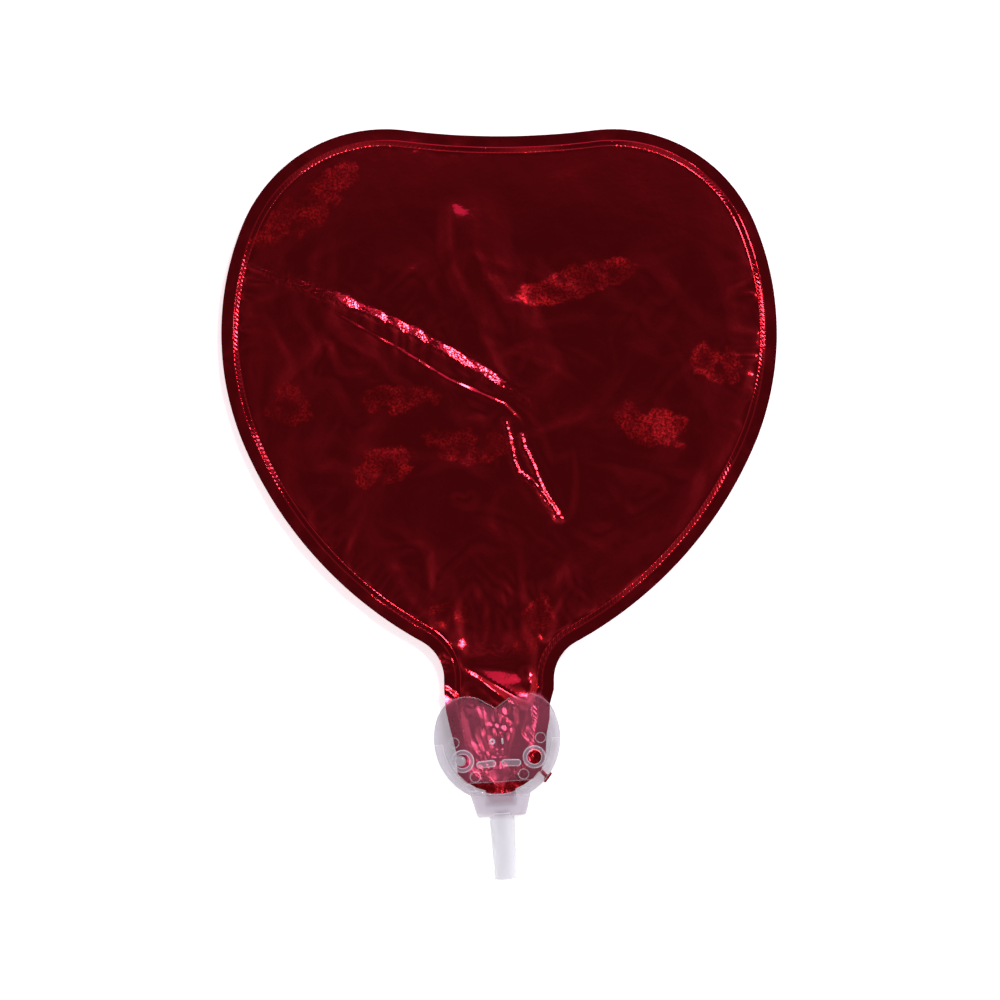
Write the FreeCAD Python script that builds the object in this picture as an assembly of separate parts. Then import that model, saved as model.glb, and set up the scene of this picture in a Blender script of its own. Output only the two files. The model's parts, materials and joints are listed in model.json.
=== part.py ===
"""Heart foil balloon, lying deflated, with a clear two-part snap clip on its neck.

The balloon is two heart-shaped film panels heat-sealed round their edge, with
a flat filling valve of two thin films sealed in the neck. The neck is pinched
between the halves of a clear moulded clip, whose hollow stem takes a balloon
stick.

Millimetres. +Z up out of the foil, +Y towards the top of the heart. The seam
plane is level. The back panel's belly and the stem rest on Z = 0.
"""
import FreeCAD, Part
import math
import os

V = FreeCAD.Vector
UP = V(0, 0, 1)
ZERO = V(0, 0, 0)

# ---------------------------------------------------------------- balloon
balloon_width = 229.6        # over the cut edge, at the widest line
widest_line_y = 27.27
lobe_radius = 63.8           # top corners of the heart
side_radius = 118.2          # flanks
lower_radius = 167.6         # long curves down to the neck
notch_radius = 310.8         # shallow hollow between the lobes
lobe_to_side_deg = 22.41     # where the lobe curve hands over to the flank
side_to_lower_deg = 23.43    # where the flank hands over to the lower curve
neck_width = 45.4
neck_fillet_radius = 17.65
flange_width = 4.8           # trim outside the heat seal
seal_width = 2.2             # heat-seal band
film = 0.3                   # wall that stands for the thin laminate
crown_height = 5.5           # front panel above the seam plane
closing_radius = 18.0        # round end of the pillow above the neck
pillow_steps = [(0, 0), (6, 0.3), (20, 0.7), (43, 1)]  # inset, share of the rise

# ---------------------------------------------------------------- valve
valve_width = 26.0
valve_length = 66.0
valve_reach = 37.5           # inner end, above where the neck's sides run straight
valve_film = 0.1
valve_room = 0.2             # air between a valve film and its panel
channel_margin = 1.2         # the neck's raised channel is this much wider

# ---------------------------------------------------------------- clip
clip_turn_deg = 3.7          # the clip sits a little askew on the neck
clip_offset_x = -0.79
clip_drop = 24.34            # disc's middle, below where the neck's sides run straight
disc_radius = 26.1
hump_radius = 13.0           # the two humps of the clip's heart top
hump_rise = 5.0
notch_fill = 2.85            # notch, above the point where the humps would cross
plate_thickness = 1.2
jaw_gap = 3.2                # between the two plates, foil included
rim_width = 3.3
rim_start_deg = 3.0          # the rim starts this far below the side points
edge_round = 0.4
nest_clearance = 0.3         # cover inside the rim
window_height = 4.9          # open strip between the cover and the rim

hub_top_width = 25.7
hub_bottom_width = 20.0
hub_overlap = 1.8            # hub starts this far inside the rim's inner edge
hub_drop = 5.9               # below the disc
hub_thickness = 8.4
hub_round = 1.2
pocket_width = 13.0          # slot in the hub for the balloon's tail
pocket_depth = 5.2           # below the rim's inner edge

stick_diameter = 6.0
stick_clearance = 0.1        # on the radius
stem_wall = 1.5              # at the tip
stem_draft = 0.7             # wider at the root by this, on the radius
stem_length = 26.1           # below the hub
bore_web = 1.5               # solid left between the bore and the pocket

hole_x = 14.8
hole_y = -8.5
pin_radius = 1.95
pin_bias = 0.85              # pins stand this far outside the holes' middles
pin_clearance = 0.15
pin_sink = 0.3               # pin tops below the cover's face
boss_wall = 1.65
boss_rise = 0.35             # bosses and bars above the cover
press_clearance = 0.3        # bosses and bars above the foil
pierce_clearance = 0.35      # foil torn open round a pin

bar_x = 5.2
bar_y = -10.3
bar_length = 7.9
bar_width = 2.6
bar_slope_deg = 3.0

mark_radius = 2.1            # shallow round ejector marks on the cover
mark_depth = 0.15
mark_places = [(10.0, -15.3), (17.9, -0.7)]
sign_x = 2.1                 # two small plain mould signs, a ring and a dash
sign_y = -1.1
sign_radius = 1.1
sign_line = 0.45
sign_height = 0.25

ridge_width = 6.4            # ribbed ridge that presses on the neck from behind
ridge_top_y = -4.0
ridge_clearance = 0.15
rib_pitch = 1.1
rib_length = 5.4
rib_height = 0.25

tail_width = 11.0            # balloon's tail in the pocket
tail_clearance = 0.8         # to the pocket's end and to the rim
neck_at_pins = 38.0          # neck's width where it passes the pins
shoulder_y = -14.5           # where the neck starts to gather into the tail
neck_entry_y = 10.0

# ------------------------------------------------------- worked-out sizes
bore_radius = stick_diameter / 2 + stick_clearance
stem_tip_radius = bore_radius + stem_wall
stem_root_radius = stem_tip_radius + stem_draft
seam_z = stem_root_radius
belly_depth = seam_z
back_plate_top = seam_z - jaw_gap / 2
back_plate_bottom = back_plate_top - plate_thickness
cover_bottom = seam_z + jaw_gap / 2
cover_top = cover_bottom + plate_thickness
above_all = cover_top + hub_thickness

rim_inner = disc_radius - rim_width
cover_radius = rim_inner - nest_clearance
cover_bottom_y = -(rim_inner - window_height)
hub_top_y = -(rim_inner - hub_overlap)
hub_bottom_y = -(disc_radius + hub_drop)
stem_tip_y = hub_bottom_y - stem_length
pocket_end_y = -(rim_inner + pocket_depth)
bore_end_y = pocket_end_y - bore_web

pin_x = hole_x + pin_bias
hole_radius = pin_radius + pin_bias + pin_clearance
boss_radius = hole_radius + boss_wall

valve_space = valve_film + valve_room
foil_half = valve_space + film             # from the seam plane to the foil's face
press_drop = jaw_gap / 2 - foil_half - press_clearance
ridge_height = jaw_gap / 2 - foil_half - rib_height - ridge_clearance
shoulder_x = math.sqrt((rim_inner - tail_clearance) ** 2 - shoulder_y ** 2)


# ---------------------------------------------------------------- helpers
def on_circle(center, radius, angle):
    return V(center.x + radius * math.cos(angle), center.y + radius * math.sin(angle), center.z)


def direction(a, b):
    return math.atan2(b.y - a.y, b.x - a.x)


def arc(center, radius, start, end):
    """Arc about center between two angles, in either direction."""
    middle = on_circle(center, radius, (start + end) / 2)
    return Part.Arc(on_circle(center, radius, start), middle, on_circle(center, radius, end)).toShape()


def line(a, b):
    return Part.LineSegment(a, b).toShape()


def mirrored(edges):
    """The same edges on the other side of the axis, in reverse order."""
    return [edge.mirror(ZERO, V(1, 0, 0)) for edge in reversed(edges)]


def plate(wire, bottom, top):
    """Prism over a flat wire drawn at z = 0."""
    return Part.Face(wire).translated(V(0, 0, bottom)).extrude(V(0, 0, top - bottom))


def box(x0, x1, y0, y1, z0, z1):
    return Part.makeBox(x1 - x0, y1 - y0, z1 - z0, V(x0, y0, z0))


def disc(x, y, radius, bottom, top):
    return Part.makeCylinder(radius, top - bottom, V(x, y, bottom))


def rounded(shape, radius, z):
    """Rounds the edges that lie flat at height z."""
    def flat(edge):
        return abs(edge.BoundBox.ZMin - z) < 0.01 and abs(edge.BoundBox.ZMax - z) < 0.01
    return shape.makeFillet(radius, [edge for edge in shape.Edges if flat(edge)])


# ---------------------------------------------------------------- balloon
side_center = V(balloon_width / 2 - side_radius, widest_line_y, 0)
lobe_angle = math.radians(lobe_to_side_deg)
lower_angle = -math.radians(side_to_lower_deg)
lobe_center = on_circle(side_center, side_radius - lobe_radius, lobe_angle)
lower_center = on_circle(side_center, side_radius - lower_radius, lower_angle)
notch_rise = math.sqrt((notch_radius + lobe_radius) ** 2 - lobe_center.x ** 2)
notch_center = V(0, lobe_center.y + notch_rise, 0)
fillet_x = neck_width / 2 + neck_fillet_radius
fillet_drop = math.sqrt((lower_radius + neck_fillet_radius) ** 2 - (fillet_x - lower_center.x) ** 2)
fillet_center = V(fillet_x, lower_center.y - fillet_drop, 0)

heart_top_y = lobe_center.y + lobe_radius
clip_center = V(clip_offset_x, fillet_center.y - clip_drop, 0)
valve_top_y = fillet_center.y + valve_reach
valve_foot_y = valve_top_y - valve_length


def in_clip(shape):
    """From the clip's own axes to its place on the neck."""
    return shape.rotated(ZERO, UP, clip_turn_deg).translated(clip_center)


def heart_side(inset):
    """Right side of the heart from the end of the notch to the lower curve."""
    lobe_start = direction(lobe_center, notch_center)
    lobe = arc(lobe_center, lobe_radius - inset, lobe_start, lobe_angle)
    flank = arc(side_center, side_radius - inset, lobe_angle, lower_angle)
    return [lobe, flank]


def notch_arc(inset):
    reach = direction(notch_center, lobe_center)
    return arc(notch_center, notch_radius + inset, -math.pi - reach, reach)


def balloon_wire():
    """Cut edge of a panel: the heart and the neck, down into the clip."""
    lower_end = direction(lower_center, fillet_center)
    lower = arc(lower_center, lower_radius, lower_angle, lower_end)
    fillet = arc(fillet_center, neck_fillet_radius, lower_end + math.pi, math.pi)
    neck_top = V(neck_width / 2, fillet_center.y, 0)
    neck_end = V(neck_width / 2, clip_center.y + neck_entry_y, 0)
    right = heart_side(0) + [lower, fillet, line(neck_top, neck_end)]
    bottom = line(neck_end, V(-neck_end.x, neck_end.y, 0))
    return Part.Wire([notch_arc(0)] + right + [bottom] + mirrored(right))


def pillow_wire(inset, z):
    """Closed heart at a distance inside the cut edge, round above the neck."""
    radius = lower_radius - inset
    closing_drop = math.sqrt((radius - closing_radius) ** 2 - lower_center.x ** 2)
    closing_center = V(0, lower_center.y - closing_drop, 0)
    lower_end = direction(lower_center, closing_center)
    lower = arc(lower_center, radius, lower_angle, lower_end)
    closing = arc(closing_center, closing_radius, lower_end, -math.pi - lower_end)
    right = heart_side(inset) + [lower]
    wire = Part.Wire([notch_arc(inset)] + right + [closing] + mirrored(right))
    return wire.translated(V(0, 0, z))


def pillow(rise):
    """Shallow domed solid over the seam plane, in sloping bands."""
    edge = flange_width + seal_width
    wires = [pillow_wire(edge + inset, share * rise) for inset, share in pillow_steps]
    return Part.makeLoft(wires, True, True)


def tail_wire():
    """Neck inside the clip: it narrows past the pins and gathers into a tail."""
    corners = [
        (neck_width / 2 - tail_clearance, neck_entry_y + edge_round),
        (neck_at_pins / 2, hole_y + pin_radius),
        (shoulder_x, shoulder_y),
        (tail_width / 2, -rim_inner + tail_clearance),
        (tail_width / 2, pocket_end_y + tail_clearance),
    ]
    right = [V(x, y, 0) for x, y in corners]
    left = [V(-x, y, 0) for x, y in reversed(corners)]
    return Part.makePolygon(right + left + [right[0]])


def channel(wall, height):
    """Way along the neck for the valve films, from the pillow into the clip."""
    half = valve_width / 2 + channel_margin - wall
    pillow_end_y = lower_center.y - lower_radius + 2 * flange_width + seal_width
    top_y = pillow_end_y + closing_radius / 2
    askew = math.radians(clip_turn_deg)
    foot_y = (valve_foot_y - clip_center.y) * math.cos(askew) + wall - channel_margin
    foot_y = foot_y - (valve_width / 2 - clip_offset_x) * math.sin(askew)
    foot = [in_clip(Part.Vertex(side * half, foot_y, 0)).Point for side in (1, -1)]
    upper_left = [V(-half, clip_center.y, 0), V(-half, top_y, 0)]
    upper_right = [V(half, top_y, 0), V(half, clip_center.y, 0)]
    corners = upper_right + foot + upper_left
    return plate(Part.makePolygon(corners + [corners[0]]), 0, height)


def panel(height):
    """One film panel above the seam plane, crowned by the given height."""
    trim = plate(balloon_wire(), 0, film)
    tail = in_clip(plate(tail_wire(), 0, film))
    dome = pillow(height - film)
    outside = trim.fuse([tail, dome.translated(V(0, 0, film)), channel(0, foil_half)])
    hollow = dome.fuse(channel(film, valve_space))
    sheet = outside.cut(hollow)
    for side in (-1, 1):
        tear = disc(side * pin_x, hole_y, pin_radius + pierce_clearance, -1, 1)
        sheet = sheet.cut(in_clip(tear))
    return sheet.removeSplitter()


def front_panel():
    return panel(crown_height).translated(V(0, 0, seam_z))


def back_panel():
    return panel(belly_depth).mirror(ZERO, UP).translated(V(0, 0, seam_z))


def valve_sheet():
    """One valve film: a long strip with a round inner end."""
    half = valve_width / 2
    end = V(0, valve_top_y - half, 0)
    left_foot = V(-half, valve_foot_y, 0)
    right_foot = V(half, valve_foot_y, 0)
    edges = [
        arc(end, half, 0, math.pi),
        line(V(-half, end.y, 0), left_foot),
        line(left_foot, right_foot),
        line(right_foot, V(half, end.y, 0)),
    ]
    return plate(Part.Wire(edges), 0, valve_film)


def valve_front_film():
    return valve_sheet().translated(V(0, 0, seam_z))


def valve_back_film():
    return valve_sheet().translated(V(0, 0, seam_z - valve_film))


# ---------------------------------------------------------------- clip
hump_center = V(math.sqrt((disc_radius - hump_radius) ** 2 - hump_rise ** 2), hump_rise, 0)
crossing_rise = math.sqrt(hump_radius ** 2 - min(hump_center.x, hump_radius) ** 2)
notch_point = V(0, hump_rise + crossing_rise + notch_fill, 0)
rim_start = -math.radians(rim_start_deg)


def heart_top(side_end):
    """Right half of the clip's heart top: notch flank, hump, disc's side."""
    reach = notch_point.sub(hump_center).Length
    touch = direction(hump_center, notch_point) - math.acos(hump_radius / reach)
    hand_over = direction(ZERO, hump_center)
    flank = line(notch_point, on_circle(hump_center, hump_radius, touch))
    hump = arc(hump_center, hump_radius, touch, hand_over)
    side = arc(ZERO, disc_radius, hand_over, side_end)
    return [flank, hump, side]


def clip_outline():
    """Whole outline of the clip: two humps on a round disc."""
    right = heart_top(rim_start)
    under = arc(ZERO, disc_radius, rim_start, -math.pi - rim_start)
    return Part.Wire(right + [under] + mirrored(right))


def cover_outline():
    """The same humps, stepping in at the sides to nest inside the rim."""
    step_angle = rim_start + nest_clearance / disc_radius
    corner_angle = math.asin(cover_bottom_y / cover_radius)
    corner = on_circle(ZERO, cover_radius, corner_angle)
    step = line(on_circle(ZERO, disc_radius, step_angle), on_circle(ZERO, cover_radius, step_angle))
    nested = arc(ZERO, cover_radius, step_angle, corner_angle)
    right = heart_top(step_angle) + [step, nested]
    bottom = line(corner, V(-corner.x, corner.y, 0))
    return Part.Wire(right + [bottom] + mirrored(right))


def rim():
    """Raised band round the lower half of the back plate."""
    start_y = disc_radius * math.sin(rim_start)
    band = disc(0, 0, disc_radius, back_plate_bottom, cover_top)
    band = band.cut(disc(0, 0, rim_inner, 0, above_all))
    band = band.cut(box(-disc_radius, disc_radius, start_y, disc_radius, 0, above_all))
    return rounded(band, edge_round, cover_top)


def hub():
    """Wedge-shaped block under the rim that carries the stem."""
    low = seam_z - hub_thickness / 2
    high = seam_z + hub_thickness / 2
    corners = [
        V(-hub_top_width / 2, hub_top_y, 0),
        V(hub_top_width / 2, hub_top_y, 0),
        V(hub_bottom_width / 2, hub_bottom_y, 0),
        V(-hub_bottom_width / 2, hub_bottom_y, 0),
    ]
    block = plate(Part.makePolygon(corners + [corners[0]]), low, high)
    upright = [edge for edge in block.Edges if edge.BoundBox.ZLength > hub_thickness / 2]
    lower_corners = [edge for edge in upright if edge.BoundBox.YMax < hub_top_y - hub_round]
    block = block.makeFillet(hub_round, lower_corners)
    block = block.cut(disc(0, 0, rim_inner, 0, above_all))
    return rounded(rounded(block, edge_round, high), edge_round, low)


def stem():
    """Tapered tube that grows out of the hub."""
    start_y = hub_bottom_y + hub_round
    length = start_y - stem_tip_y
    body = Part.makeCone(stem_root_radius, stem_tip_radius, length, V(0, start_y, seam_z), V(0, -1, 0))
    tip = [edge for edge in body.Edges if edge.BoundBox.YMax < stem_tip_y + 0.01]
    return body.makeFillet(edge_round, tip)


def pin(side):
    """Pin that pierces the foil and stands in the cover's hole."""
    top = cover_top - pin_sink
    body = disc(side * pin_x, hole_y, pin_radius, back_plate_bottom + plate_thickness / 2, top)
    return rounded(body, 2 * edge_round, top)


def ridge():
    """Ribbed ridge down the middle of the back plate."""
    top = back_plate_top + ridge_height
    body = box(-ridge_width / 2, ridge_width / 2, -rim_inner, ridge_top_y, back_plate_top, top)
    count = int((ridge_top_y + rim_inner) / rib_pitch)
    ribs = []
    for index in range(count):
        place = V(-rib_length / 2, ridge_top_y - (index + 0.5) * rib_pitch, top)
        ribs.append(Part.makeCylinder(rib_height, rib_length, place, V(1, 0, 0)))
    return body.fuse(ribs)


def clip_back_half():
    base = rounded(plate(clip_outline(), back_plate_bottom, back_plate_top), edge_round, back_plate_bottom)
    body = base.fuse([rim(), hub(), stem()])
    pocket = box(-pocket_width / 2, pocket_width / 2, pocket_end_y, hub_top_y, back_plate_top, cover_bottom)
    bore = Part.makeCylinder(bore_radius, bore_end_y - stem_tip_y + 1, V(0, stem_tip_y - 1, seam_z), V(0, 1, 0))
    body = body.cut([pocket, bore])
    body = body.fuse([ridge(), pin(-1), pin(1)])
    return in_clip(body.removeSplitter())


def boss(side):
    """Collar round a pin hole, above and below the cover."""
    high = cover_top + boss_rise
    collar = disc(side * hole_x, hole_y, boss_radius, cover_bottom - press_drop, high)
    return rounded(collar, 0.8 * boss_rise, high)


def bar(side):
    """Pressing bar with round ends, above and below the cover."""
    half = (bar_length - bar_width) / 2
    low = cover_bottom - press_drop
    high = cover_top + boss_rise
    block = box(-half, half, -bar_width / 2, bar_width / 2, low, high)
    ends = [disc(end * half, 0, bar_width / 2, low, high) for end in (-1, 1)]
    shape = rounded(block.fuse(ends).removeSplitter(), 0.8 * boss_rise, high)
    return shape.rotated(ZERO, UP, -side * bar_slope_deg).translated(V(side * bar_x, bar_y, 0))


def mould_signs():
    """A plain ring and a plain dash, raised on the cover."""
    low = cover_top - mark_depth
    high = cover_top + sign_height
    ring = disc(-sign_x, sign_y, sign_radius, low, high)
    ring = ring.cut(disc(-sign_x, sign_y, sign_radius - sign_line, 0, above_all))
    dash = box(sign_x - sign_line / 2, sign_x + sign_line / 2, sign_y - sign_radius, sign_y + sign_radius, low, high)
    return [ring, dash]


def clip_front_half():
    body = rounded(plate(cover_outline(), cover_bottom, cover_top), edge_round, cover_top)
    body = body.fuse([boss(-1), boss(1), bar(-1), bar(1)])
    cuts = []
    for side in (-1, 1):
        cuts.append(disc(side * hole_x, hole_y, hole_radius, 0, above_all))
        for x, y in mark_places:
            cuts.append(disc(side * x, y, mark_radius, cover_top - mark_depth, cover_top + mark_depth))
    body = body.cut(cuts).fuse(mould_signs())
    return in_clip(body.removeSplitter())


# ---------------------------------------------------------------- output
nodes = {
    "front_panel": front_panel(),
    "back_panel": back_panel(),
    "valve_front_film": valve_front_film(),
    "valve_back_film": valve_back_film(),
    "clip_back_half": clip_back_half(),
    "clip_front_half": clip_front_half(),
}

lowest_y = nodes["clip_back_half"].BoundBox.YMin
to_origin = V(0, -(heart_top_y + lowest_y) / 2, 0)
os.makedirs("parts", exist_ok=True)
for name, shape in nodes.items():
    placed = shape.translated(to_origin)
    placed.exportStep("parts/" + name + ".step")
    b = placed.BoundBox
    print(name, len(placed.Solids), "solid,", round(placed.Volume, 2), "mm3, valid", placed.isValid())
    print("    x", round(b.XMin, 2), round(b.XMax, 2), "y", round(b.YMin, 2), round(b.YMax, 2),
          "z", round(b.ZMin, 2), round(b.ZMax, 2))

mouth = in_clip(Part.Vertex(0, stem_tip_y, seam_z)).Point.add(to_origin)
print("shift in y", round(to_origin.y, 3), "clip middle y", round(clip_center.y + to_origin.y, 3))
print("stem mouth", round(mouth.x, 3), round(mouth.y, 3), round(mouth.z, 3))
print("bore length", round(bore_end_y - stem_tip_y, 3), "radius", bore_radius)
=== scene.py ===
# %% [markdown]
# # A deflated heart foil balloon on its clip
# The balloon is metallised film, which is a mirror that has been crumpled. Almost all of
# its look comes from how its surface tilts, so the film is built as a fine mesh whose
# height is worked out crease by crease. The clip is clear moulded plastic. Its shape is
# already right in the CAD model, so it only gets a material.

# %% Load the frame
import bpy
import json
import math
import numpy as np
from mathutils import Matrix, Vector, kdtree, noise
from mathutils.geometry import delaunay_2d_cdt


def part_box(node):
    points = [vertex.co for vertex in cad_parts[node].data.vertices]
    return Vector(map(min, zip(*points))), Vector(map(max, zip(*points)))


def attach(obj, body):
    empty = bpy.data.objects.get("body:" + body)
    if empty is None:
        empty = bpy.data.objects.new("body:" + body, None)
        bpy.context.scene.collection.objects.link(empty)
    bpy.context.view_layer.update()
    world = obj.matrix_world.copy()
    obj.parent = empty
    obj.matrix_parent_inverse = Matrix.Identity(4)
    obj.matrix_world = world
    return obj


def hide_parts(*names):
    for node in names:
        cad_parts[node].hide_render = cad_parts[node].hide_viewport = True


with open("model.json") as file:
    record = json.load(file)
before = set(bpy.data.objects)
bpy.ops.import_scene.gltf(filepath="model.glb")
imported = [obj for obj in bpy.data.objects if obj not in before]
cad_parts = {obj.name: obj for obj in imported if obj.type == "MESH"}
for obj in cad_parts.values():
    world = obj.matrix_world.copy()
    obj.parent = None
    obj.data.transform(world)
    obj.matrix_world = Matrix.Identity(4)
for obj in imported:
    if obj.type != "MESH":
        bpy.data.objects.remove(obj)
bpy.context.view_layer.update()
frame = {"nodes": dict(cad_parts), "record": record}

MM = 0.001


# %% [markdown]
# A few helpers serve every material. Colours are chosen as sRGB hex values, as a paint
# chart gives them, and Blender's shaders want linear light. One function adds a node,
# sets it and links it, so each material below reads as a list of steps.

# %% Colour and node helpers
def linear(hex_value):
    """An sRGB hex colour such as "C8102E" as linear RGBA."""
    parts = [int(hex_value[i:i + 2], 16) / 255 for i in (0, 2, 4)]
    light = [c / 12.92 if c <= 0.04045 else ((c + 0.055) / 1.055) ** 2.4 for c in parts]
    return (*light, 1.0)


def give(tree, made, inputs):
    """Gives a node's inputs a plain value each, or a link. A node stands for its first output."""
    for name, value in inputs.items():
        if isinstance(value, bpy.types.Node):
            value = value.outputs[0]
        if isinstance(value, bpy.types.NodeSocket):
            tree.links.new(value, made.inputs[name])
        else:
            made.inputs[name].default_value = value


def node(tree, kind, inputs=None, settings=None):
    """Adds a node with its settings, and gives its inputs."""
    made = tree.nodes.new(kind)
    for name, value in (settings or {}).items():
        setattr(made, name, value)
    give(tree, made, inputs or {})
    return made


def material(name):
    """A new material with an empty node tree but its output and its shader."""
    made = bpy.data.materials.new(name)
    made.use_nodes = True
    return made, made.node_tree, made.node_tree.nodes["Principled BSDF"]


# %% [markdown]
# The camera looks straight down on the balloon, as it lies on a table. A long lens far
# above keeps the clip, which stands 10 mm high, from leaning outwards.

# %% Camera
VIEW_WIDTH = 414.5 * MM       # width of table that the frame takes in
VIEW_CENTER = (0.4 * MM, 1.7 * MM)
CAMERA_HEIGHT = 1.6
SENSOR = 36.0

lens_data = bpy.data.cameras.new("overhead")
lens_data.sensor_width = SENSOR
lens_data.lens = SENSOR * CAMERA_HEIGHT / VIEW_WIDTH
camera = bpy.data.objects.new("overhead", lens_data)
camera.location = (*VIEW_CENTER, CAMERA_HEIGHT)
bpy.context.scene.collection.objects.link(camera)
bpy.context.scene.camera = camera
bpy.context.scene.view_settings.view_transform = "Standard"
print("lens", round(lens_data.lens), "mm")

# %% [markdown]
# ## Where things are
# The film has to fit the CAD panels and the clip. The panel's box gives the width and
# the top of the heart, and the mount in the record gives the clip's axis: the stem's
# bore points straight down the clip.

# %% Places from the frame (millimetres from here on)
panel_low, panel_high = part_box("front_panel")
WIDTH = (panel_high[0] - panel_low[0]) / MM
TOP = panel_high[1] / MM
SEAM_Z = panel_low[2] / MM

mount = frame["record"]["mounts"][0]
STEM_TIP = 58.1               # from the middle of the clip's disc
clip_down = np.array(mount["axis"][:2])
clip_right = np.array([-clip_down[1], clip_down[0]])
half_bore = mount["dims"]["length_mm"] / 2
mouth = np.array(mount["pos_m"][:2]) / MM + clip_down * half_bore
clip_middle = mouth - clip_down * STEM_TIP
print("width", round(WIDTH, 1), "top", round(TOP, 1), "clip", clip_middle.round(2))


def from_clip(points):
    """Points in the clip's own axes, x right and y up, to the frame's."""
    points = np.atleast_2d(np.array(points, float))
    return clip_middle + points[:, :1] * clip_right - points[:, 1:2] * clip_down


def in_clip(x, y):
    """The frame's x and y to the clip's own."""
    across = (x - clip_middle[0]) * clip_right[0] + (y - clip_middle[1]) * clip_right[1]
    along = -(x - clip_middle[0]) * clip_down[0] - (y - clip_middle[1]) * clip_down[1]
    return across, along


# %% [markdown]
# ## The cut edge
# A foil heart is drawn with a few large arcs that run smoothly into each other: a wide
# shallow hollow at the top, a tight lobe, a flank, a long lower curve and a small hollow
# fillet into the neck. The same arcs give the edge here. Inside the clip the neck is
# bunched, and its edge is a line of listed points down to the tail in the hub.

# %% Outline of the film
LOBE_R, SIDE_R, LOWER_R, NOTCH_R, FILLET_R = 63.8, 118.2, 167.6, 310.8, 17.65
LOBE_TURN, LOWER_TURN = math.radians(22.41), -math.radians(23.43)
LOBE_TO_SIDE = 20.73          # widest line below the lobe's middle
NECK_HALF = 22.7
NECK_STRAIGHT = 4.0           # straight edge between the fillet and the clip
EDGE_STEP = 1.0

lobe = np.array([WIDTH / 2 - SIDE_R + (SIDE_R - LOBE_R) * math.cos(LOBE_TURN), TOP - LOBE_R])
side = np.array([WIDTH / 2 - SIDE_R, lobe[1] - LOBE_TO_SIDE])
lower = side - (LOWER_R - SIDE_R) * np.array([math.cos(LOWER_TURN), math.sin(LOWER_TURN)])
notch = np.array([0.0, lobe[1] + math.sqrt((NOTCH_R + LOBE_R) ** 2 - lobe[0] ** 2)])
fillet_x = NECK_HALF + FILLET_R
fillet_drop = math.sqrt((LOWER_R + FILLET_R) ** 2 - (fillet_x - lower[0]) ** 2)
fillet = np.array([fillet_x, lower[1] - fillet_drop])


def arc(center, radius, start, end):
    count = max(2, round(abs(end - start) * radius / EDGE_STEP))
    angles = start + (end - start) * np.arange(count) / count
    return center + radius * np.stack([np.cos(angles), np.sin(angles)], axis=1)


def straight(a, b):
    count = max(1, round(float(np.linalg.norm(b - a)) / EDGE_STEP))
    return a + (b - a) * (np.arange(count) / count)[:, None]


lobe_start = math.atan2(*(notch - lobe)[::-1])
notch_end = math.atan2(*(lobe - notch)[::-1])
lower_end = math.atan2(*(fillet - lower)[::-1])
right_edge = np.concatenate([
    arc(notch, NOTCH_R, -math.pi / 2, notch_end),
    arc(lobe, LOBE_R, lobe_start, LOBE_TURN),
    arc(side, SIDE_R, LOBE_TURN, LOWER_TURN),
    arc(lower, LOWER_R, LOWER_TURN, lower_end),
    arc(fillet, FILLET_R, lower_end + math.pi, math.pi),
])
neck_top = fillet[1] - NECK_STRAIGHT
# The neck's edge inside the clip, in the clip's axes.
right_neck = [(22.7, 12.8), (22.1, 6.5), (20.5, 0.3), (19.9, -5.0), (19.3, -10.0), (17.4, -13.6),
              (13.9, -17.3), (9.6, -20.0), (6.3, -21.2), (5.4, -23.6), (4.8, -26.6)]
left_neck = [(-4.4, -26.6), (-5.6, -23.2), (-6.3, -21.2), (-9.8, -19.9), (-13.8, -17.4),
             (-17.2, -13.7), (-17.2, -5.0), (-18.3, 1.2), (-19.5, 7.2), (-20.4, 13.2)]
neck_corners = np.concatenate([
    [[NECK_HALF, neck_top]], from_clip(right_neck + left_neck), [[-NECK_HALF, neck_top]]
])
neck_edge = np.concatenate([straight(a, b) for a, b in zip(neck_corners[:-1], neck_corners[1:])])
to_neck = straight(np.array([NECK_HALF, fillet[1]]), neck_corners[0])
left_edge = (right_edge * [-1, 1])[::-1]
from_neck = straight(neck_corners[-1], np.array([-NECK_HALF, fillet[1]]))
outline = np.concatenate([right_edge, to_neck, neck_edge, from_neck, left_edge])[::-1]
steps = np.linalg.norm(np.roll(outline, -1, axis=0) - outline, axis=1)
outline_s = np.concatenate([[0], np.cumsum(steps)[:-1]])
print("edge", len(outline), "points,", round(float(steps.sum())), "mm round")

# %% [markdown]
# ## Points that follow the edge
# A heart has no rows and columns, so its film isn't a grid that was bent to fit. Points
# are laid in rings beside the edge, where the weld and the trimmed flange need them,
# and evenly over the rest. A Delaunay triangulation then joins them, and no triangle
# comes out long and thin. First comes the measure that everything near the edge uses:
# how far in a point is, and how far round the heart.

# %% Distance from the edge
edge_tree = kdtree.KDTree(len(outline))
for index, (x, y) in enumerate(outline):
    edge_tree.insert((x, y, 0), index)
edge_tree.balance()
next_point = np.roll(outline, -1, axis=0)


def from_edge(points):
    """For each point, the distance to the edge and how far round the edge it is."""
    nearest = np.array([edge_tree.find((x, y, 0))[1] for x, y in points])
    best = np.full(len(points), 1e9)
    around = np.zeros(len(points))
    for back in (0, 1):
        index = (nearest - back) % len(outline)
        run = next_point[index] - outline[index]
        part = np.einsum("ij,ij->i", points - outline[index], run) / np.einsum("ij,ij->i", run, run)
        part = np.clip(part, 0, 1)
        distance = np.linalg.norm(outline[index] + run * part[:, None] - points, axis=1)
        closer = distance < best
        best = np.where(closer, distance, best)
        around = np.where(closer, outline_s[index] + part * steps[index], around)
    return best, around


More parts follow.
